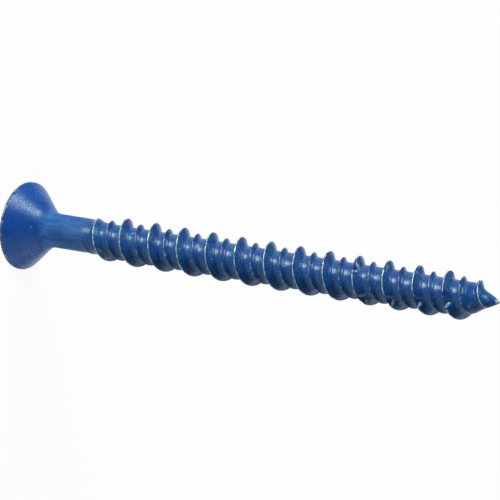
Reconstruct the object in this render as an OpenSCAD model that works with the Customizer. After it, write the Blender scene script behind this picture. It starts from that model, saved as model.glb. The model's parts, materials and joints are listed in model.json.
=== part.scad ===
// Concrete screw with a flat head: one cold-headed and thread-rolled piece of steel.
// It stands on its head face: the origin is the centre of that face and +Z runs along the axis to the point.
// A high and a low thread share one lead, and the high thread is notched near the point.

/* [Overall] */
// Length from the head face to the point
length = 82.55; // [60:0.05:110]

/* [Head] */
// Diameter of the head
head_d = 13.05; // [11.5:0.05:15]
// Included angle of the countersunk underside
countersink_angle = 82; // [76:1:92]
// Height of the straight rim between the head face and the underside
rim_land = 0.35; // [0.15:0.01:0.6]
// Rounding of the rim where it meets the head face
rim_round = 0.12; // [0.05:0.01:0.15]
// Fillet radius where the underside runs into the shank
head_fillet = 3.2; // [0.8:0.1:4]

/* [Cross recess] */
// Span across opposite wings at the head face
recess_span = 7; // [6:0.1:8]
// Depth of the recess on the axis
recess_depth = 5; // [4:0.1:5.5]
// Height of the blunt cone at the bottom of the recess
recess_floor = 0.6; // [0.3:0.05:1]
// Angle between a wing's outer edge and the axis
wing_taper = 26.5; // [22:0.5:28]
// Width of a wing at the head face
wing_w = 2.1; // [1.6:0.05:2.6]
// Angle between a wing's side and the axis
wing_draft = 5; // [2:0.5:6]
// Diameter of the rounded core between the wings at the head face
core_d = 3.6; // [3:0.1:4.2]

/* [Shank] */
// Diameter of the plain shank
shank_d = 5.05; // [4.8:0.05:5.5]
// Distance from the head face to the end of the plain shank
shank_end = 11.55; // [11:0.05:20]
// Length over which the shank tapers to the thread root
shank_taper = 3.5; // [1:0.1:6]

/* [Thread] */
// Diameter at the root between the threads
root_d = 4.56; // [4:0.02:4.78]
// Diameter over the high thread
high_d = 6.87; // [6.2:0.01:7.6]
// Diameter over the low thread
low_d = 5.74; // [5:0.01:6]
// Axial advance in one turn
lead = 5.07; // [4.6:0.01:6]
// Axial distance from a high crest to the low crest on its point side
low_offset = 2.42; // [2.2:0.01:2.6]
// Direction in which the high thread leaves the shank
start_angle = 261; // [0:0.5:359.5]
// Flat along the high crest
crest_land = 0.12; // [0.04:0.01:0.3]
// Axial reach of the high thread's flank towards the head
high_flank_head = 0.6; // [0.5:0.05:1]
// Axial reach of the high thread's flank towards the point
high_flank_point = 0.95; // [0.6:0.05:1.2]
// Axial reach of the low thread's flank towards the head
low_flank_head = 0.35; // [0.2:0.05:0.6]
// Axial reach of the low thread's flank towards the point
low_flank_point = 0.55; // [0.2:0.05:0.8]
// Length over which both threads rise to their full height
run_in = 4.7; // [2:0.1:6]
// Length over which the high thread fades towards the point
run_out = 5.6; // [3:0.1:9]
// Form of that fade: 1 is straight, and less keeps the thread high for longer
fade_form = 0.55; // [0.3:0.05:1]

/* [Notches] */
// Distance from the head face to the deepest place of the first notch in the high thread
notch_from = 59.45; // [40:0.05:66]
// Number of notch pairs
notch_pairs = 4; // [1:1:5]
// Angle from one pair to the next along the thread
pair_pitch = 345; // [320:1:358]
// Angle between the two notches of a pair
pair_angle = 100; // [70:1:130]
// Angle over which the crest slopes down into a notch
notch_ramp = 34; // [10:1:40]
// Angle over which the crest rises again behind a notch
notch_wall = 7; // [4:1:20]
// Share of the thread's height that a notch takes away on the flank towards the point
notch_depth = 0.85; // [0.3:0.05:0.9]
// Share that it takes away on the flank towards the head
notch_edge = 0.12; // [0.05:0.01:0.5]

/* [Point] */
// Length of the conical point
point_len = 4.45; // [3:0.05:7]
// Fullness of the point: 1 is a straight cone and less is rounder
point_form = 0.96; // [0.7:0.01:1]
// Diameter of the blunted end
point_d = 0.36; // [0.2:0.02:0.6]
// Distance from the end of the high thread to the point
thread_gap = 1.3; // [1:0.05:2]
// Distance from the end of the low thread to the point
low_gap = 3.35; // [2.5:0.05:9]
// Length over which the low thread fades towards its end
low_run_out = 2; // [0.5:0.1:5]

/* [Hidden] */
coating = [0.15, 0.33, 0.64];
$fn = 96;
eps = 0.01;

head_r = head_d / 2;
shank_r = shank_d / 2;
root_r = root_d / 2;
point_r = point_d / 2;

// Underside of the head: the cone ends on the shank, and the fillet touches both.
half_angle = countersink_angle / 2;
cone_end = rim_land + (head_r - shank_r) / tan(half_angle);
fillet_reach = head_fillet * tan(half_angle / 2);
fillet_mid = [shank_r + head_fillet, cone_end + fillet_reach];
fillet_on_cone = fillet_mid - head_fillet * [cos(half_angle), sin(half_angle)];

// The plain shank ends at the foot of the high thread's first flank.
plain_end = shank_end - high_flank_head;

// Cross recess: radius where the tapering wings meet the blunt floor.
wing_depth = recess_depth - recess_floor;
wing_end_r = recess_span / 2 - wing_depth * tan(wing_taper);
core_end_r = core_d / 2 - wing_depth * tan(wing_draft);

// The threaded body is a helical strip. It runs from one high crest to the next, and its rows
// are [axial distance from the high crest, share of the high thread's height, of the low, of the next high].
half_land = crest_land / 2;
flank_mid = 0.42;
strip = [
  [half_land, 1, 0, 0],
  [(half_land + high_flank_point) / 2, flank_mid, 0, 0],
  [high_flank_point, 0, 0, 0],
  [low_offset - low_flank_head, 0, 0, 0],
  [low_offset, 0, 1, 0],
  [low_offset + low_flank_point, 0, 0, 0],
  [lead - high_flank_head, 0, 0, 0],
  [lead - (half_land + high_flank_head) / 2, 0, 0, flank_mid],
  [lead - half_land, 0, 0, 1]
];
rows = len(strip);

// Stations along the strip are counted from the first notch. Each notch has one where it is deepest and one
// on each edge, and even steps lie between the notches. The first station lies a full turn inside the shank.
steps_in_pair = 8;
steps_after_pair = 21;
second_notch = steps_in_pair + 2;
per_pair = second_notch + steps_after_pair + 2;
per_turn = round(360 * per_pair / pair_pitch);
pair_lead = lead * pair_pitch / 360;
tuck = 0.02;
thread_end = length - thread_gap;
first_angle = start_angle + 360 * (notch_from - shank_end) / lead;
stations_before = ceil((notch_from - shank_end + lead) / pair_lead * per_pair) + 1;
begin_z = crest_z(station_angle(0)) - 2 * crest_land;
most_stations = stations_before + ceil((thread_end - notch_from) / pair_lead) * per_pair;
stations = len([for (j = [1 : most_stations]) if (crest_z(station_angle(j)) <= thread_end) j]);
point_rows = [0, 0.35, 0.7, 1];

// Angle along the high crest at a station, and the crest's height above the head face at an angle.
function station_angle(j) =
  let (pair = floor((j - stations_before) / per_pair))
  let (s = j - stations_before - pair * per_pair)
  let (notch_span = notch_ramp + notch_wall)
  let (in_step = (pair_angle - notch_span) / steps_in_pair)
  let (after_step = (pair_pitch - pair_angle - notch_span) / steps_after_pair)
  first_angle + pair * pair_pitch + (
    s == 0 ? 0
    : s < second_notch ? notch_wall + in_step * (s - 1)
    : s == second_notch ? pair_angle
    : pair_angle + notch_wall + after_step * (s - second_notch - 1)
  );
function crest_z(a) = shank_end + lead * (a - start_angle) / 360;

// A share kept between 0 and 1.
function clip(x) = max(0, min(1, x));

// Radius of the body under the threads: just inside the shank, then tapering to the root, then the point.
function body_r(z) =
  let (share = min(1, (length - z) / point_len))
  let (taper = clip((z - shank_end) / shank_taper))
  share < 1
    ? point_r + (root_r - point_r) * pow(max(0, share), point_form)
    : shank_r - tuck + (root_r - shank_r + tuck) * taper;

// Height of a thread at an angle along it, with its rise, its fade and the notches.
function saw_tooth(a) = clip(1 - (a < 0 ? -a / notch_ramp : a / notch_wall));
function notch_dip(a) =
  let (pair = floor((a - first_angle + notch_ramp) / pair_pitch))
  let (turned = a - first_angle - max(0, min(notch_pairs - 1, pair)) * pair_pitch)
  max(saw_tooth(turned), saw_tooth(turned - pair_angle));
function high_rise(a, notch_share) =
  let (z = crest_z(a))
  let (ends = clip((z - shank_end) / run_in) * pow(clip((thread_end - z) / run_out), fade_form))
  (high_d / 2 - root_r) * ends * (1 - notch_share * notch_dip(a));
function low_rise(a) =
  let (z = crest_z(a) + low_offset)
  (low_d / 2 - root_r) * clip((z - shank_end) / run_in) * clip((length - low_gap - z) / low_run_out);

// One point of the strip. In the last turn the strip narrows to nothing at the end of the thread.
function on_axis(r, a, z) = [r * cos(a), r * sin(a), z];
function strip_point(j, row) =
  let (a0 = station_angle(j))
  let (a = a0 + (station_angle(j + per_turn) - 360 - a0) * strip[row][0] / lead)
  let (narrow = min(1, (station_angle(stations) - a0) / 360))
  let (z = crest_z(a) + strip[row][0] * narrow)
  let (near_side = high_rise(a, notch_depth) * strip[row][1] + low_rise(a) * strip[row][2])
  let (rise = near_side + high_rise(a + 360, notch_edge) * strip[row][3])
  on_axis(body_r(z) + rise, a, z);
function rim_angle(i) =
  i == per_turn
    ? (station_angle(stations - 1) + station_angle(stations)) / 2
    : station_angle(stations - per_turn + i) + (station_angle(stations + i) - 360
      - station_angle(stations - per_turn + i)) * strip[rows - 1][0] / lead;
function point_ring(q, i) =
  let (z = thread_end + (length - point_r - thread_end) * q)
  on_axis(body_r(z), rim_angle(i), z);

// Numbering of the points: strip, its end, ring and middle inside the shank, rings of the point.
last = stations * rows;
shank_ring = last + 1;
shank_mid = shank_ring + per_turn;
point_first = shank_mid + 1;
rim = per_turn + 1;
apex = point_first + rim * (len(point_rows) - 1);
function strip_id(j, row) = row == rows ? strip_id(j + per_turn, 0) : j == stations ? last : j * rows + row;
function rim_id(q, i) =
  let (k = i % rim)
  q > 0 ? point_first + (q - 1) * rim + k : strip_id(stations - per_turn + k, rows - 1);
function quad(a, b, c, d) = [[a, d, c], [a, c, b]];

// The points in that order, and the tip on the axis.
thread_points = [
  for (j = [0 : stations - 1]) for (row = [0 : rows - 1]) strip_point(j, row),
  on_axis(body_r(thread_end), rim_angle(per_turn), thread_end),
  for (j = [0 : per_turn - 1]) on_axis(body_r(begin_z), station_angle(j), begin_z),
  [0, 0, begin_z],
  for (q = [1 : len(point_rows) - 1]) for (i = [0 : rim - 1]) point_ring(point_rows[q], i),
  [0, 0, length]
];

strip_faces = [
  for (j = [0 : stations - 2]) for (row = [0 : rows - 1])
    if (row < rows - 1 || j + 1 + per_turn <= stations)
      each quad(strip_id(j, row), strip_id(j + 1, row), strip_id(j + 1, row + 1), strip_id(j, row + 1)),
  for (row = [0 : rows - 2]) [strip_id(stations - 1, row), strip_id(stations - 1, row + 1), last]
];
shank_faces = [
  for (j = [0 : per_turn - 2])
    each quad(shank_ring + j, shank_ring + j + 1, strip_id(j + 1, 0), strip_id(j, 0)),
  [shank_mid - 1, strip_id(0, 0), shank_ring],
  for (row = [0 : rows - 1]) [shank_mid - 1, strip_id(0, row + 1), strip_id(0, row)],
  [shank_mid - 1, strip_id(per_turn - 1, 0), strip_id(per_turn, 0)],
  for (j = [0 : per_turn - 1]) [shank_mid, shank_ring + j, shank_ring + (j + 1) % per_turn]
];
point_faces = [
  for (q = [0 : len(point_rows) - 2]) for (i = [0 : rim - 1])
    each quad(rim_id(q, i), rim_id(q, i + 1), rim_id(q + 1, i + 1), rim_id(q + 1, i)),
  for (i = [0 : rim - 1]) [rim_id(len(point_rows) - 1, i), apex, rim_id(len(point_rows) - 1, i + 1)]
];

// Half section of the head and the plain shank.
module head_section() {
  difference() {
    polygon([
      [0, 0],
      [head_r, 0],
      [head_r, rim_land],
      [shank_r, cone_end],
      [shank_r, plain_end],
      [0, plain_end]
    ]);
    translate([head_r - rim_round, 0])
      difference() {
        translate([0, -rim_round])
          square(2 * rim_round);
        translate([0, rim_round])
          circle(rim_round);
      }
  }
  difference() {
    polygon([
      fillet_on_cone,
      fillet_mid,
      [shank_r, fillet_mid[1]],
      [shank_r / 2, cone_end]
    ]);
    translate(fillet_mid)
      circle(head_fillet);
  }
}

// Space that the driver's four wings fill.
module cross_recess() {
  intersection() {
    rotate_extrude()
      polygon([
        [0, -eps],
        [recess_span / 2 + eps * tan(wing_taper), -eps],
        [wing_end_r, wing_depth],
        [0, recess_depth]
      ]);
    union() {
      for (a = [0, 90])
        rotate([90, 0, a])
          linear_extrude(recess_span + 2 * eps, center = true)
            polygon([
              [-wing_w / 2, -eps],
              [wing_w / 2, -eps],
              [wing_w / 2 - recess_depth * tan(wing_draft), recess_depth],
              [recess_depth * tan(wing_draft) - wing_w / 2, recess_depth]
            ]);
      rotate_extrude()
        polygon([
          [0, -eps],
          [core_d / 2, -eps],
          [core_end_r, wing_depth],
          [0, wing_depth]
        ]);
    }
  }
}

module screw() {
  color(coating) {
    difference() {
      rotate_extrude()
        head_section();
      cross_recess();
    }
    polyhedron(thread_points, concat(strip_faces, shank_faces, point_faces), convexity = 10);
  }
}

screw();
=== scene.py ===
# %% [markdown]
# # A blue concrete screw
#
# A concrete screw is one piece of hardened steel. A blank of wire gets its flat head and cross recess in a
# cold-heading press. Then two threads are rolled on: a high one that cuts into the wall of a drilled hole,
# and a low one between its turns that keeps the screw centred. A blue coating is baked on at the end. It
# wears thin wherever screws rub on each other in the box: along the crests, round the rim and at the point.
#
# This lesson builds that finish and the fine forms on top of a measured part. The part is loaded first and
# stays as it is, so that whatever is drawn here keeps to the same size and place.

# %% Load the measured part
import json
import math

import bpy
import numpy as np
from mathutils import Matrix, Vector, noise

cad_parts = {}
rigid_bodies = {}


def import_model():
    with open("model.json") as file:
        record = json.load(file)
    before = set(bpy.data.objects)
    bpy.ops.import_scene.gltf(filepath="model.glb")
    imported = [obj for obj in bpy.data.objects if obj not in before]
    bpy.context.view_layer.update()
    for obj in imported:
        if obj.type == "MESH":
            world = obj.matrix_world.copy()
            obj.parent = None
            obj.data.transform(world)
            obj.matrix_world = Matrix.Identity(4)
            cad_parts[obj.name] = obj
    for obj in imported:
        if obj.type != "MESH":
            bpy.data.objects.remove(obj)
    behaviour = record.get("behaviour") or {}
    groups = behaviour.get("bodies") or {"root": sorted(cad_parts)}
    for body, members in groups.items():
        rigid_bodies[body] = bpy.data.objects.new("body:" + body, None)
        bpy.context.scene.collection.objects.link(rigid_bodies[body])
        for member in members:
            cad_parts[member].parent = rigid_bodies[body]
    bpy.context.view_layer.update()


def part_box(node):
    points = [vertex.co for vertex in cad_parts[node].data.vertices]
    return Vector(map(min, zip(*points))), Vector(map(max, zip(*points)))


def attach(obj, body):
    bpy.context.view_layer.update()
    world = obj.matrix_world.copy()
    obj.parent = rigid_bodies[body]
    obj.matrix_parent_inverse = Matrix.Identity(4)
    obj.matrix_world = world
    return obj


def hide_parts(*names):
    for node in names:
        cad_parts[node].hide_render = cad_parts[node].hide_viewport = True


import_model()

# %% [markdown]
# ## The screw's measures
#
# All lengths below are in millimetres, and angles are in degrees unless they are turned to radians at once.
# The length and the head's radius are read from the part; the others are the sizes that the part was made
# with. Z runs along the axis from the head's face to the point.

# %% Measures
MM = 0.001
lowest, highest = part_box("screw")
LENGTH = (highest[2] - lowest[2]) / MM
HEAD_R = min(highest[0] - lowest[0], highest[1] - lowest[1]) / 2 / MM

# Head: straight rim, its rounding, the cone and the fillet into the shank
RIM_LAND, RIM_ROUND = 0.35, 0.12
HALF_ANGLE = math.radians(82 / 2)
HEAD_FILLET = 3.2

# Cross recess: wings, core, depth and the taper of its walls
RECESS_SPAN, RECESS_DEPTH, RECESS_FLOOR = 7.0, 5.0, 0.6
WING_W, CORE_D = 2.1, 3.6
WING_TAPER, WING_DRAFT = math.radians(26.5), math.radians(5)

# Shank and thread: radii, lead, and how far each flank reaches from its crest
SHANK_R, SHANK_END, SHANK_TAPER = 5.05 / 2, 11.55, 3.5
ROOT_R, HIGH_R, LOW_R = 4.56 / 2, 6.87 / 2, 5.74 / 2
LEAD, LOW_OFFSET, START_ANGLE = 5.07, 2.42, 261.0
HIGH_LAND, HIGH_HEAD, HIGH_POINT = 0.06, 0.6, 0.95
LOW_LAND, LOW_HEAD, LOW_POINT = 0.02, 0.35, 0.55
RUN_IN, RUN_OUT, FADE_FORM = 4.7, 5.6, 0.55

# Pairs of notches in the high thread
NOTCH_FROM, NOTCH_PAIRS = 59.45, 4
PAIR_PITCH, PAIR_ANGLE = 345.0, 100.0
NOTCH_RAMP, NOTCH_WALL = 34.0, 7.0
NOTCH_DEPTH, NOTCH_EDGE = 0.85, 0.12

# Point, and where the threads end on it
POINT_LEN, POINT_FORM, POINT_R = 4.45, 0.96, 0.18
THREAD_END, LOW_END, LOW_RUN_OUT = LENGTH - 1.3, LENGTH - 3.35, 2.0

CONE_END = RIM_LAND + (HEAD_R - SHANK_R) / math.tan(HALF_ANGLE)
FILLET_END = CONE_END + HEAD_FILLET * math.tan(HALF_ANGLE / 2)
print(f"length {LENGTH:.2f} mm, head {2 * HEAD_R:.2f} mm")
print(f"plain shank from {FILLET_END:.2f} to {SHANK_END:.2f} mm")

# %% [markdown]
# ## The two threads as functions
#
# Rolling dies press a thread's form into the blank all at once, so each turn has the same profile. It is
# described here by its height at an axial distance from the crest: a narrow rounded crest and nearly
# straight flanks. Between the threads the root is very slightly hollow, because the dies squeeze the steel
# out of it into the crests.
#
# A thread could also be cut from a solid, but a function of the angle and the distance is enough to place
# every vertex, so no solid has to be cut.

# %% Body and thread profile
ROOT_HOLLOW = 0.04


def clip(x):
    return np.clip(x, 0.0, 1.0)


def crest_z(angle):
    return SHANK_END + LEAD * (angle - START_ANGLE) / 360.0


def body_r(z):
    core = SHANK_R + (ROOT_R - SHANK_R) * clip((z - SHANK_END) / SHANK_TAPER)
    share = clip((LENGTH - z) / POINT_LEN)
    point = POINT_R + (ROOT_R - POINT_R) * share ** POINT_FORM
    return np.where(share < 1, np.minimum(core, point), core)


def ridge(d, land, head, point, form=1.1, soft=0.03):
    reach = np.where(d < 0, head, point)
    x = (np.abs(d) - land) / (reach - land)
    flank = np.clip(1 - x, 0, None) ** form
    return -soft * np.log(np.exp(-1 / soft) + np.exp(-flank / soft))


def hollow(d):
    behind_high = (d - HIGH_POINT) / (LOW_OFFSET - LOW_HEAD - HIGH_POINT)
    behind_low = (d - LOW_OFFSET - LOW_POINT) / (LEAD - HIGH_HEAD - LOW_OFFSET - LOW_POINT)
    return ROOT_HOLLOW * sum(np.clip(4 * s * (1 - s), 0, 1) for s in (behind_high, behind_low))


print(f"root {2 * ROOT_R:.2f} mm, low thread {2 * LOW_R:.2f} mm, high thread {2 * HIGH_R:.2f} mm")

# %% [markdown]
# Along the thread the height follows the rise out of the shank, the fade on the point and, near the point,
# pairs of notches that break up the concrete. A notch is a saw tooth: a long ramp, then a steep wall. It is
# deep on the flank that faces the point and leaves the other edge of the crest almost whole.

# %% Notches and the rise of each thread
FIRST_NOTCH = START_ANGLE + 360.0 * (NOTCH_FROM - SHANK_END) / LEAD
WALL_MARGIN = 1.5


def saw_tooth(angle):
    return clip(1 - np.where(angle < 0, -angle / NOTCH_RAMP, angle / NOTCH_WALL))


def notch_dip(angle):
    pair = np.clip(np.floor((angle - FIRST_NOTCH + NOTCH_RAMP) / PAIR_PITCH), 0, NOTCH_PAIRS - 1)
    turned = angle - FIRST_NOTCH - pair * PAIR_PITCH
    return np.maximum(saw_tooth(turned), saw_tooth(turned - PAIR_ANGLE))


def notch_wall(angle):
    pair = np.clip(np.floor((angle - FIRST_NOTCH) / PAIR_PITCH), 0, NOTCH_PAIRS - 1)
    turned = angle - FIRST_NOTCH - pair * PAIR_PITCH
    from_wall = [np.abs(turned - at - NOTCH_WALL / 2) / NOTCH_WALL for at in (0.0, PAIR_ANGLE)]
    return sum(clip(WALL_MARGIN - away) for away in from_wall)


def high_rise(angle, d=-HIGH_LAND):
    z = crest_z(angle)
    ends = clip((z - SHANK_END) / RUN_IN) * clip((THREAD_END - z) / RUN_OUT) ** FADE_FORM
    cut = NOTCH_EDGE + (NOTCH_DEPTH - NOTCH_EDGE) * clip((d + HIGH_LAND) / (2 * HIGH_LAND))
    return (HIGH_R - ROOT_R) * ends * (1 - cut * notch_dip(angle))


def low_rise(angle):
    z = crest_z(angle) + LOW_OFFSET
    return (LOW_R - ROOT_R) * clip((z - SHANK_END) / RUN_IN) * clip((LOW_END - z) / LOW_RUN_OUT)


print(f"{2 * NOTCH_PAIRS} notches, the first {crest_z(FIRST_NOTCH):.2f} mm from the head's face")

# %% [markdown]
# ## Threaded body
#
# The surface between one turn of the high crest and the next is a helical strip. Its rows lie close together
# at the crests and the feet of the flanks, and wide apart on the plain root. Each station is one step of the
# angle. The stations nearest to a notch's wall are moved onto it, so that the wall stays sharp.

# %% Rows and stations of the strip
AROUND = 128
LOW_FOOT_TRIM = 0.03


def spread(start, end, count):
    return start + (end - start) * np.linspace(0, 1, count, endpoint=False)


rows = np.concatenate([
    spread(0, HIGH_LAND, 2),
    spread(HIGH_LAND, HIGH_POINT, 9),
    spread(HIGH_POINT, LOW_OFFSET - LOW_HEAD, 6),
    LOW_OFFSET - spread(LOW_HEAD, LOW_LAND, 4),
    LOW_OFFSET + spread(-LOW_LAND, LOW_LAND, 2),
    LOW_OFFSET + spread(LOW_LAND, LOW_POINT, 5),
    spread(LOW_OFFSET + LOW_POINT, LEAD - HIGH_HEAD, 6),
    LEAD - spread(HIGH_HEAD, HIGH_LAND, 6),
    LEAD - spread(HIGH_LAND, 0, 2),
])
start_angle = START_ANGLE + 360.0 * (FILLET_END - LEAD - SHANK_END) / LEAD
stations = math.ceil((THREAD_END - FILLET_END + LEAD) / LEAD * AROUND) + 1
angles = start_angle + np.arange(stations) * 360.0 / AROUND
ring_angles = angles[:AROUND].copy()
notches = FIRST_NOTCH + np.add.outer(np.arange(NOTCH_PAIRS) * PAIR_PITCH, [0.0, PAIR_ANGLE]).ravel()
for edge in np.concatenate([notches, notches + NOTCH_WALL]):
    angles[np.abs(angles - edge).argmin()] = edge

turn, row = np.meshgrid(angles, rows, indexing="ij")
strip_z = crest_z(turn) + row
near_low = row - LOW_OFFSET
high_share = ridge(row, HIGH_LAND, HIGH_HEAD, HIGH_POINT)
next_share = ridge(row - LEAD, HIGH_LAND, HIGH_HEAD, HIGH_POINT)
low_share = ridge(near_low, LOW_LAND, LOW_HEAD, LOW_POINT - LOW_FOOT_TRIM)
strip_r = (
    body_r(strip_z)
    - hollow(row) * clip((strip_z - SHANK_END) / LEAD)
    + high_share * high_rise(turn, row)
    + next_share * high_rise(turn + 360, row - LEAD)
    + low_share * low_rise(turn)
)
print(f"strip of {stations} stations and {len(rows)} rows, {2 * strip_r.max():.2f} mm over the high thread")

# %% [markdown]
# One more thing is noted for every vertex, for the finish to use: how near it is to a crest or to the steep
# wall of a notch, where the coating rubs off first. A crest counts in full once it has risen far enough to
# touch its neighbours. A painted mask could do the same, but a formula stays exact at any size of mesh.

# %% Crest marks
CREST_WIDTH, CREST_SIDE = 0.07, 0.05
FULL_HIGH, FULL_LOW = 0.3, 0.2
NOTCH_SPARED, LOW_WEAR, WALL_WEAR = 0.8, 0.85, 0.8
WALL_REACH = 0.35


def band(d, width):
    return np.exp(-((d / width) ** 2))


high_now, high_next, low_now = high_rise(turn), high_rise(turn + 360), low_rise(turn)
strip_crest = np.maximum.reduce([
    band(row - CREST_SIDE, CREST_WIDTH) * clip(high_now / FULL_HIGH) * (1 - NOTCH_SPARED * notch_dip(turn)),
    band(row - LEAD - CREST_SIDE, CREST_WIDTH) * clip(high_next / FULL_HIGH),
    band(near_low - CREST_SIDE, CREST_WIDTH) * clip(low_now / FULL_LOW) * LOW_WEAR,
    WALL_WEAR * notch_wall(turn) * clip(row / HIGH_LAND) * clip(2 - row / WALL_REACH),
])
print(f"{(strip_crest > 0.5).mean():.1%} of the strip's vertices lie on a worn crest or wall")

# %% [markdown]
# The last row of a turn joins the first row of the next, so the strip closes on itself. Where it passes the
# plain shank or the end of the thread, its vertices are drawn together on a flat ring, to which the head and
# the point are joined. Faces that shrink to a line there are left out.

# %% Join the strip into faces
MERGE = 0.02
vertices, crest_marks, faces = [], [], []


def add_points(radius, angle, z, crest=0.0):
    radius, angle, z, crest = np.broadcast_arrays(radius, angle, z, crest)
    first = sum(len(block) for block in vertices)
    bow = np.radians(angle)
    vertices.append(np.stack([radius * np.cos(bow), radius * np.sin(bow), z], axis=-1).reshape(-1, 3))
    crest_marks.append(crest.ravel())
    return first + np.arange(radius.size).reshape(radius.shape)


def add_quads(a, b, c, d):
    for corners in np.stack([a, b, c, d], axis=-1).reshape(-1, 4).tolist():
        kept = [v for i, v in enumerate(corners) if v != corners[i - 1]]
        if len(kept) >= 3:
            faces.append(kept)


shank_ring = add_points(SHANK_R, ring_angles, FILLET_END)
point_ring = add_points(body_r(np.float64(THREAD_END)), ring_angles, THREAD_END)
inside = (strip_z > FILLET_END + MERGE) & (strip_z < THREAD_END - MERGE)
column = np.broadcast_to((np.arange(stations) % AROUND)[:, None], inside.shape)
strip_ids = np.where(strip_z <= FILLET_END + MERGE, shank_ring[column], point_ring[column])
strip_ids[inside] = add_points(strip_r[inside], turn[inside], strip_z[inside], strip_crest[inside])

following = point_ring[np.arange(stations) % AROUND]
following[:-AROUND] = strip_ids[AROUND:, 0]
strip_ids = np.concatenate([strip_ids, following[:, None]], axis=1)
add_quads(strip_ids[:-1, :-1], strip_ids[1:, :-1], strip_ids[1:, 1:], strip_ids[:-1, 1:])
print(f"threaded body: {len(faces)} faces")

# %% [markdown]
# ## Head
#
# The head is a turned form: a fillet out of the shank, the 82 degree cone that beds in a countersink and a
# short straight rim. A lathe modifier would turn a profile too, but rings with the strip's own columns join
# the shank without a seam. The rim is worn all round, and it has one chip.

# %% Head profile and rings
EDGE_ROUND = 0.07
RIM_WEAR, RIM_FADE, CONE_REACH = 0.6, 0.25, 4.5
CHIP_AT, CHIP_HALF = 75.0, 6.0


def steps(start, end, count):
    return np.linspace(start, end, count + 1)[1:]


head_profile = [
    (SHANK_R + HEAD_FILLET * (1 - math.cos(t)), FILLET_END - HEAD_FILLET * math.sin(t), 0.0)
    for t in steps(0, HALF_ANGLE, 13)
]
cone_from = head_profile[-1]
edge_cut = EDGE_ROUND * math.tan((math.pi / 2 - HALF_ANGLE) / 2)
cone_to = (HEAD_R - edge_cut * math.sin(HALF_ANGLE), RIM_LAND + edge_cut * math.cos(HALF_ANGLE))
for t in steps(0, 1, 30):
    cone_r = cone_from[0] + (cone_to[0] - cone_from[0]) * t
    cone_z = cone_from[1] + (cone_to[1] - cone_from[1]) * t
    head_profile.append((cone_r, cone_z, RIM_WEAR * float(band((1 - t) * CONE_REACH, RIM_FADE))))
for t in steps(HALF_ANGLE, math.pi / 2, 3):
    edge_z = RIM_LAND - edge_cut + EDGE_ROUND * math.cos(t)
    head_profile.append((HEAD_R - EDGE_ROUND * (1 - math.sin(t)), edge_z, RIM_WEAR))
for t in np.linspace(0, math.pi / 2, 6):
    head_profile.append((HEAD_R - RIM_ROUND * (1 - math.cos(t)), RIM_ROUND * (1 - math.sin(t)), RIM_WEAR))

chip = band((ring_angles % 360 - CHIP_AT) / CHIP_HALF, 1.0)
head_rings = [shank_ring]
for r, z, worn in head_profile:
    head_rings.append(add_points(r, ring_angles, z, crest=worn * (1 + chip * (z <= RIM_LAND))))
print(f"head: {len(head_profile)} rings from the shank to the flat face")

# %% [markdown]
# ## Cross recess
#
# The recess is punched into the flat face: four tapering wings round a core, with a blunt floor. Each level
# of it is a ring that follows the cross, so the same columns of vertices run from the shank over the rim and
# down into the recess, and no hole has to be cut.

# %% Flat face and recess
LIP, LIP_DEPTH, LIP_WEAR = 0.12, 0.08, 0.5


def join_rings(rings):
    for lower, upper in zip(rings, rings[1:]):
        add_quads(lower, np.roll(lower, -1), np.roll(upper, -1), upper)


def close_ring(ring, middle):
    for a, b in zip(ring.tolist(), np.roll(ring, -1).tolist()):
        faces.append([a, b, middle])


def cross_outline(z):
    away = np.radians((ring_angles + 45) % 90 - 45)
    side = (WING_W / 2 - z * math.tan(WING_DRAFT)) / np.maximum(np.abs(np.sin(away)), 1e-6)
    core = CORE_D / 2 - z * math.tan(WING_DRAFT)
    outline = np.minimum(np.maximum(side, core), RECESS_SPAN / 2 - z * math.tan(WING_TAPER))
    for _ in range(2):
        outline = (np.roll(outline, 1) + 2 * outline + np.roll(outline, -1)) / 4
    return outline


mouth = cross_outline(0.0)
face_r = HEAD_R - RIM_ROUND
for t in steps(0, 1, 10):
    ring_r = face_r + (mouth + LIP - face_r) * t
    head_rings.append(add_points(ring_r, ring_angles, 0.0, crest=LIP_WEAR * t ** 6))
for t in steps(0, math.pi / 2, 3):
    lip_r = mouth + LIP * (1 - math.sin(t))
    head_rings.append(add_points(lip_r, ring_angles, LIP_DEPTH * (1 - math.cos(t)), crest=LIP_WEAR))
wing_depth = RECESS_DEPTH - RECESS_FLOOR
for z in steps(LIP_DEPTH, wing_depth, 12):
    head_rings.append(add_points(cross_outline(z), ring_angles, z))
floor_edge = cross_outline(wing_depth)
for t in (0.75, 0.5, 0.25):
    head_rings.append(add_points(floor_edge * t, ring_angles, wing_depth + RECESS_FLOOR * (1 - t)))
join_rings(head_rings[::-1])
recess_middle = add_points(0.0, 0.0, RECESS_DEPTH)
close_ring(head_rings[-1][::-1], int(recess_middle))
print(f"recess: {2 * mouth.max():.2f} mm across at the face, {RECESS_DEPTH:.1f} mm deep")

# %% [markdown]
# ## Point
#
# The point closes the other end. It is a cone that is barely rounded, and its tip is a small worn dome, where
# the coating is nearly gone.

# %% Point
POINT_WEAR, END_WEAR, TIP_WEAR = 0.3, 0.5, 0.9
END_REACH = 0.7

point_rings = [point_ring]
dome_z = LENGTH - POINT_R
for z in steps(THREAD_END, dome_z, 11):
    worn = POINT_WEAR + END_WEAR * clip((z - dome_z + END_REACH) / END_REACH)
    point_rings.append(add_points(body_r(z), ring_angles, z, crest=worn))
for t in steps(0, math.pi / 2, 5)[:-1]:
    dome_r = body_r(np.float64(dome_z)) * math.cos(t)
    point_rings.append(add_points(dome_r, ring_angles, dome_z + POINT_R * math.sin(t), crest=TIP_WEAR))
join_rings(point_rings)
tip = add_points(0.0, 0.0, LENGTH, crest=TIP_WEAR)
close_ring(point_rings[-1], int(tip))
print(f"whole screw: {sum(map(len, vertices))} vertices, {len(faces)} faces")

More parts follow.
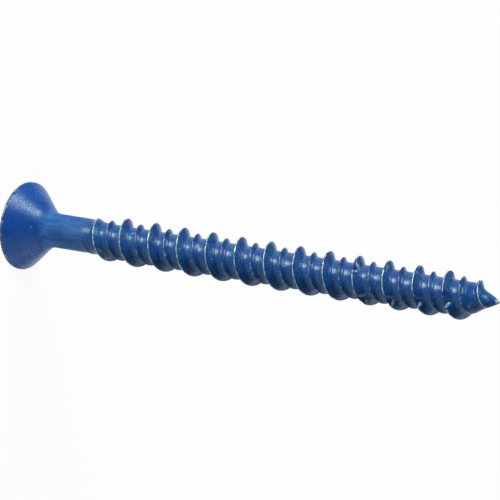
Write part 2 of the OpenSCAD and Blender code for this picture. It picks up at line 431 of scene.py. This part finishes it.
# %% [markdown]
# ## One closed mesh, with the small unevenness of a used part
#
# Baked coating is never quite flat, and screws in a box nick each other's crests and rims. Every vertex is
# drawn in along its normal by a few hundredths of a millimetre at most, so the screw stays within its size.
# The noise is solid and has no random seed, so each run gives the same nicks.

# %% Make the mesh and its wear
WAVE, WAVE_SIZE = 0.012, 0.9
NICK, NICK_SIZE, NICK_FROM = 0.05, 0.45, 0.1
NICK_SHIFT = Vector((7, 3, 5))

points = np.concatenate(vertices) * MM
mesh = bpy.data.meshes.new("Screw")
mesh.from_pydata(points.tolist(), [], faces)
mesh.update()
normals = np.empty(len(points) * 3)
mesh.vertices.foreach_get("normal", normals)
normals = normals.reshape(-1, 3)
crest_mark = np.concatenate(crest_marks)

wave = np.array([noise.noise(Vector(p) / (WAVE_SIZE * MM)) for p in points])
nick = np.array([noise.noise(Vector(p) / (NICK_SIZE * MM) + NICK_SHIFT) for p in points])
depth = WAVE * (1 - wave) / 2 + NICK * crest_mark * np.clip(nick - NICK_FROM, 0, 1)
points = points - normals * depth[:, None] * MM
mesh.vertices.foreach_set("co", points.ravel())
mesh.polygons.foreach_set("use_smooth", np.ones(len(mesh.polygons), dtype=bool))
mesh.attributes.new("crest", "FLOAT", "POINT").data.foreach_set("value", crest_mark.astype(np.float32))
mesh.update()

screw = bpy.data.objects.new("Screw", mesh)
bpy.context.scene.collection.objects.link(screw)
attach(screw, "root")
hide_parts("screw")
triangles = sum(len(p.vertices) - 2 for p in mesh.polygons)
print(f"screw: {triangles} triangles, wear up to {depth.max():.3f} mm")

# %% [markdown]
# ## Blue coating
#
# The coating is a baked blue paint. It is deep blue where it is thick, darker and thinner in the thread, and
# worn to pale metal along the crests. It could be painted on an unwrapped texture, but solid noise in
# millimetres needs no unwrapping and stays the same at any view. A few helpers come first, because each
# layer of the finish is made of the same kinds of node.

# %% Helpers for shader nodes
def put(tree, socket, value):
    if isinstance(value, bpy.types.NodeSocket):
        tree.links.new(value, socket)
    else:
        socket.default_value = value


def add(tree, kind, settings=None, **inputs):
    node = tree.nodes.new("ShaderNode" + kind)
    for name, value in (settings or {}).items():
        setattr(node, name, value)
    for name, value in inputs.items():
        put(tree, node.inputs[name.replace("_", " ")], value)
    return node


def blend(tree, share, first, second):
    node = add(tree, "Mix", {"data_type": "RGBA"})
    for index, value in ((0, share), (6, first), (7, second)):
        put(tree, node.inputs[index], value)
    return node.outputs[2]


def math_node(tree, operation, first, second=0.0, clamp=False):
    node = add(tree, "Math", {"operation": operation, "use_clamp": clamp})
    for index, value in ((0, first), (1, second)):
        put(tree, node.inputs[index], value)
    return node.outputs[0]


def ramp(tree, value, start, end, low=0.0, high=1.0):
    node = add(tree, "MapRange", {"interpolation_type": "SMOOTHSTEP"}, Value=value)
    for name, number in (("From Min", start), ("From Max", end), ("To Min", low), ("To Max", high)):
        node.inputs[name].default_value = number
    return node.outputs[0]


def grain(tree, place, size, detail=3.0, roughness=0.55):
    node = add(tree, "TexNoise", Vector=place, Scale=1 / size, Detail=detail, Roughness=roughness)
    return node.outputs[0]


def stretched(tree, place, scale):
    return add(tree, "Mapping", Vector=place, Scale=scale).outputs[0]


# %% [markdown]
# The finish changes along the screw: the head is thickly coated, the shank is dull and the thread is darker.
# These zones are smooth steps along Z, so that one material serves the whole piece. Within them a cloudy and
# a finer noise let the coating turn thin in patches.

# %% Coating, thick and thin
BLUE = (0.010, 0.075, 0.330, 1)
DEEP_BLUE = (0.007, 0.060, 0.278, 1)
THREAD_BLUE = (0.005, 0.036, 0.150, 1)
THIN_BLUE = (0.012, 0.070, 0.168, 1)
HEAD_TO_SHANK, SHANK_TO_THREAD = (4.0, 5.5), (10.5, 13.0)
DARKENING, THINNING, HEAD_THIN = (5.0, 13.0), (4.0, 9.0), 0.12
CLOUD_SIZE, MOTTLE_SIZE = 1.3, 0.3

coating = bpy.data.materials.new("Blue coating")
coating.use_nodes = True
tree = coating.node_tree
shader = tree.nodes["Principled BSDF"]
place = stretched(tree, add(tree, "TexCoord").outputs["Object"], (1 / MM, 1 / MM, 1 / MM))
along = add(tree, "SeparateXYZ", Vector=place).outputs["Z"]
on_head = ramp(tree, along, *HEAD_TO_SHANK, 1.0, 0.0)
on_thread = ramp(tree, along, *SHANK_TO_THREAD)
on_shank = math_node(tree, "SUBTRACT", 1.0, math_node(tree, "ADD", on_head, on_thread), clamp=True)

cloud = grain(tree, place, CLOUD_SIZE, 4.0)
mottle = grain(tree, place, MOTTLE_SIZE)
colour = blend(tree, ramp(tree, cloud, 0.35, 0.65), DEEP_BLUE, BLUE)
colour = blend(tree, ramp(tree, along, *DARKENING), colour, THREAD_BLUE)
bare = math_node(tree, "MULTIPLY", ramp(tree, along, *THINNING, HEAD_THIN, 1.0), ramp(tree, cloud, 0.36, 0.6))
thin = math_node(tree, "MULTIPLY", ramp(tree, mottle, 0.38, 0.66), bare)
colour = blend(tree, thin, colour, THIN_BLUE)
print("coating so far:", len(tree.nodes), "nodes")

# %% [markdown]
# The shank is left as the drawn wire was, so its streaks run along the axis. They are noise that is stretched
# along Z. Their pale teal is partly the wire's own tone and partly a painted sheen: it is strongest next to
# the head, where the neck mirrors a bright light, and fades towards the thread. Scuffs are a few larger
# patches where another screw has rubbed.

# %% Brushed shank with a painted sheen, and scuffs
# The shank's own pale teal, which also serves as a painted sheen near the head.
TEAL_AND_SHEEN = (0.038, 0.165, 0.410, 1)
FLECK = (0.25, 0.48, 0.62, 1)
BRUSH_STRETCH, BRUSH_AND_SHEEN_FADE, BRUSH_AND_SHEEN_LEFT = (2.0, 2.0, 0.35), (5.0, 8.0), 0.35
SCUFF_SIZE, SCUFF_STRENGTH = 0.8, 0.35

# Painted sheen: the teal streaks are strongest next to the head and fade along Z towards the thread.
streaks = grain(tree, stretched(tree, place, BRUSH_STRETCH), 1.0)
brushed_and_sheen = math_node(tree, "MULTIPLY", ramp(tree, streaks, 0.32, 0.58), on_shank)
brushed_and_sheen = math_node(tree, "MULTIPLY", brushed_and_sheen, ramp(tree, along, *BRUSH_AND_SHEEN_FADE, 1.0, BRUSH_AND_SHEEN_LEFT))
colour = blend(tree, brushed_and_sheen, colour, TEAL_AND_SHEEN)
scuff = ramp(tree, grain(tree, place, SCUFF_SIZE, 3.0, 0.5), 0.66, 0.73, 0.0, SCUFF_STRENGTH)
colour = blend(tree, scuff, colour, FLECK)
print("with brushing and scuffs:", len(tree.nodes), "nodes")

# %% [markdown]
# The crest marks that were stored with the mesh say where the coating rubs off. Noise is added to them before
# a threshold, so the pale line breaks up as a real one does. Worn places are slightly metallic.

# %% Worn crests
PALE_METAL = (0.41, 0.56, 0.57, 1)
RUB_SIZE, RUB_STRENGTH, WORN_METAL = 0.55, 1.6, 0.12

crest = add(tree, "Attribute", {"attribute_name": "crest"}).outputs["Fac"]
uneven = math_node(tree, "SUBTRACT", grain(tree, place, RUB_SIZE, 4.0), 0.5)
rub = math_node(tree, "MULTIPLY", uneven, RUB_STRENGTH)
worn = ramp(tree, math_node(tree, "ADD", crest, rub), 0.5, 1.15)
colour = blend(tree, worn, colour, PALE_METAL)
put(tree, shader.inputs["Base Color"], colour)
put(tree, shader.inputs["Metallic"], math_node(tree, "MULTIPLY", worn, WORN_METAL))
print("with worn crests:", len(tree.nodes), "nodes")

# %% [markdown]
# The head and the thread are semi-gloss, and the shank is dull. A bump of a few hundredths of a millimetre
# gives the skin of baked paint, with faint turning marks round the head. The strength and tint of the gloss
# are the same all over, so they are set on the shader itself.

# %% Gloss and paint skin
GLOSSY, DULL, HEAD_DULL = 0.26, 0.58, 0.03
MARK_STRETCH, MARK_HEIGHT = (0.7, 0.7, 2.6), 3.0
SKIN_STRENGTH, SKIN_DEPTH = 0.6, 0.03

dull = math_node(
    tree, "ADD", ramp(tree, on_shank, 0.0, 1.0, GLOSSY, DULL), ramp(tree, mottle, 0.3, 0.7, -0.03, 0.07)
)
dull = math_node(tree, "ADD", dull, math_node(tree, "MULTIPLY", on_head, HEAD_DULL))
put(tree, shader.inputs["Roughness"], dull)
marks = grain(tree, stretched(tree, place, MARK_STRETCH), 1.0)
turning = math_node(tree, "MULTIPLY", marks, math_node(tree, "MULTIPLY", on_head, MARK_HEIGHT))
height = math_node(tree, "ADD", grain(tree, place, MOTTLE_SIZE), turning)
skin = add(tree, "Bump", Strength=SKIN_STRENGTH, Distance=SKIN_DEPTH * MM, Height=height)
put(tree, shader.inputs["Normal"], skin.outputs[0])
shader.inputs["Specular IOR Level"].default_value = 0.28
shader.inputs["Specular Tint"].default_value = (0.77, 0.97, 1.0, 1)
mesh.materials.append(coating)
print("coating made of", len(tree.nodes), "nodes")

# %% [markdown]
# ## A plain white ground
#
# The screw stands head down on a white table top, whose front edge lies just outside the picture. The top
# glows white for the camera and in reflections and still takes a little of the lamps' light, so a faint
# shadow stays. What lies below the edge gets nearly the same white as the top, so the edge hardly shows from
# any side above the table.

# %% Ground
TABLE, FRONT_EDGE, GROUND_GAP = 6.0, 0.024, 0.02
GLOW = 0.92
MATT_WHITE, PURE_WHITE = (0.8, 0.8, 0.8, 1), (1, 1, 1, 1)


def seen_share(tree):
    path = add(tree, "LightPath").outputs
    seen = math_node(tree, "ADD", path["Is Camera Ray"], path["Is Glossy Ray"])
    return math_node(tree, "ADD", seen, path["Is Transmission Ray"], clamp=True)


ground_mesh = bpy.data.meshes.new("Ground")
corners = [(-TABLE, -TABLE, 0.0), (TABLE, -TABLE, 0.0), (TABLE, FRONT_EDGE, 0.0), (-TABLE, FRONT_EDGE, 0.0)]
ground_mesh.from_pydata(corners, [], [[0, 1, 2, 3]])
ground = bpy.data.objects.new("Ground", ground_mesh)
ground.location.z = -GROUND_GAP * MM
bpy.context.scene.collection.objects.link(ground)

white = bpy.data.materials.new("White ground")
white.use_nodes = True
tree = white.node_tree
tree.nodes.remove(tree.nodes["Principled BSDF"])
matt = add(tree, "BsdfDiffuse", Color=MATT_WHITE)
glow = add(tree, "Emission", Color=PURE_WHITE, Strength=1.0)
mixed = add(tree, "MixShader")
glowing = math_node(tree, "MULTIPLY", seen_share(tree), GLOW)
for index, value in enumerate((glowing, matt.outputs[0], glow.outputs[0])):
    put(tree, mixed.inputs[index], value)
put(tree, tree.nodes["Material Output"].inputs["Surface"], mixed.outputs[0])
ground_mesh.materials.append(white)
print("table top ends", FRONT_EDGE / MM, "mm in front of the axis")

# %% [markdown]
# ## Light
#
# A strip light high on one side draws the bright line along the head's cone. A front lamp stands low, beyond
# the table's edge, and shines up past it: it makes the round glints in the roots, whose mirror direction
# points down. Two dim cards on the other side turn that half to slate, and a fill card lights the back. Each
# is given by its radiance, so that its size can change without changing how bright it looks in a reflection.

# %% Lamps
def panel(name, direction, distance, width, height, radiance):
    lamp = bpy.data.lights.new(name, "AREA")
    lamp.shape = "ELLIPSE"
    lamp.size, lamp.size_y = width, height
    lamp.energy = radiance * math.pi * math.pi * width * height / 4
    holder = bpy.data.objects.new(name, lamp)
    away = Vector(direction).normalized()
    holder.location = away * distance + Vector((0, 0, LENGTH * MM / 2))
    holder.rotation_euler = away.to_track_quat("Z", "Y").to_euler()
    holder.visible_camera = False
    bpy.context.scene.collection.objects.link(holder)
    print(f"{name}: {lamp.energy:.2f} W")


panel("Strip light", (0.79, 0.25, 0.57), distance=0.9, width=0.56, height=0.20, radiance=29.0)
panel("Front lamp", (0.532, 0.759, -0.375), distance=0.6, width=0.26, height=0.22, radiance=32.0)
panel("Side card", (-0.84, 0.25, 0.49), distance=0.9, width=1.3, height=0.45, radiance=1.5)
panel("Back card", (-0.75, -0.55, 0.33), distance=0.9, width=0.9, height=0.3, radiance=2.2)
panel("Fill card", (0.30, -0.60, 0.75), distance=0.9, width=0.9, height=0.9, radiance=1.4)

# %% [markdown]
# The room above the table is dim, so the flanks, which mirror it, stay deep blue. Below the horizon it is
# white to the camera and in reflections only: that white shows in the gloss, but it doesn't light the paint.

# %% Room
LOW_SKY, HIGH_SKY = (0.20, 0.25, 0.26, 1), (0.07, 0.10, 0.11, 1)
BELOW_WHITE = (0.98, 0.98, 0.98, 1)

room = bpy.data.worlds.new("Room")
bpy.context.scene.world = room
room.use_nodes = True
tree = room.node_tree
height = add(tree, "SeparateXYZ", Vector=add(tree, "TexCoord").outputs["Generated"]).outputs["Z"]
sky = blend(tree, ramp(tree, height, 0.0, 0.4), LOW_SKY, HIGH_SKY)
below = ramp(tree, height, -0.01, 0.0, 1.0, 0.0)
sky = blend(tree, math_node(tree, "MULTIPLY", seen_share(tree), below), sky, BELOW_WHITE)
put(tree, tree.nodes["Background"].inputs["Color"], sky)
print("room made of", len(tree.nodes), "nodes")

# %% [markdown]
# ## Camera
#
# The view looks down on the standing screw at about 33 degrees, from one side, and is rolled over so that the
# screw lies across the picture with its point to the right. The lens is long, so the turns keep an even size.
# The place of the head's middle is given in pixels of the square picture.

# %% Camera
PICTURE = 500
LOOK_DOWN = math.radians(33.2203)
ROLL = math.radians(9.14898)
HEAD_MIDDLE = (25.6069, 225.4208)
PIXELS_PER_MM = 6.76359
DISTANCE = 878.17

tilt_in, tilt_across = math.sin(LOOK_DOWN), math.cos(LOOK_DOWN)
right = Vector((math.sin(ROLL), -tilt_in * math.cos(ROLL), tilt_across * math.cos(ROLL)))
down = Vector((-math.cos(ROLL), -tilt_in * math.sin(ROLL), tilt_across * math.sin(ROLL)))
ahead = right.cross(down)
offset_x, offset_y = ((pixel - PICTURE / 2) / PIXELS_PER_MM for pixel in HEAD_MIDDLE)
stand = -(right * offset_x + down * offset_y + ahead * DISTANCE) * MM

lens = bpy.data.cameras.new("Camera")
lens.sensor_width = 36.0
lens.lens = PIXELS_PER_MM * DISTANCE / PICTURE * lens.sensor_width
lens.clip_start = 0.05
lens.clip_end = 50.0
camera = bpy.data.objects.new("Camera", lens)
turned = Matrix((right, -down, -ahead)).transposed().to_4x4()
camera.matrix_world = Matrix.Translation(stand) @ turned
bpy.context.scene.collection.objects.link(camera)
bpy.context.scene.camera = camera
bpy.context.scene.view_settings.view_transform = "Standard"
print("camera at", [round(c, 4) for c in stand], "lens", round(lens.lens, 2), "mm")
